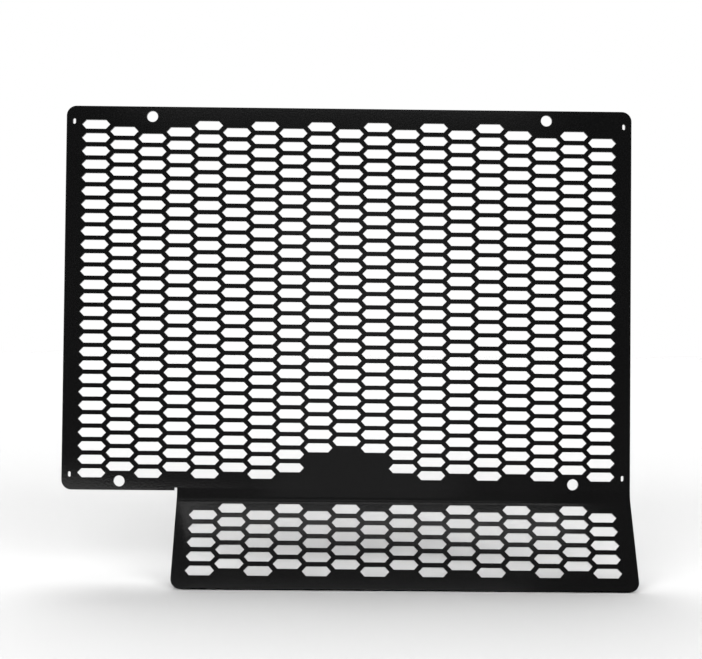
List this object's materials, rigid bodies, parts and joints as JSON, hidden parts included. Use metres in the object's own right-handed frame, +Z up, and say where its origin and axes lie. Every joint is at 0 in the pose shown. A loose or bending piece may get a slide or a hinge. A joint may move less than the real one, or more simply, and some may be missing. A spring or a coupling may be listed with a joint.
{
  "type": "motorcycle radiator guard",
  "caption": "Flat perforated metal guard for a motorcycle radiator, with staggered six-sided openings, a folded lower lip, round fixing holes and small tie slots, coated satin black.",
  "frame": {"origin": "middle of the flat panel's near face, half way between its sides and between its top and bottom edges", "axes": "+X across the panel to the viewer's right, +Z up the panel, -Y out of its near face, the side to which the lip is folded"},
  "size_m": [0.3416, 0.0211, 0.2849],
  "materials": {
    "black_coat": "satin black powder coat with a fine grain"
  },
  "bodies": {
    "root": {"radiator_guard": "black_coat"}
  },
  "joints": []
}
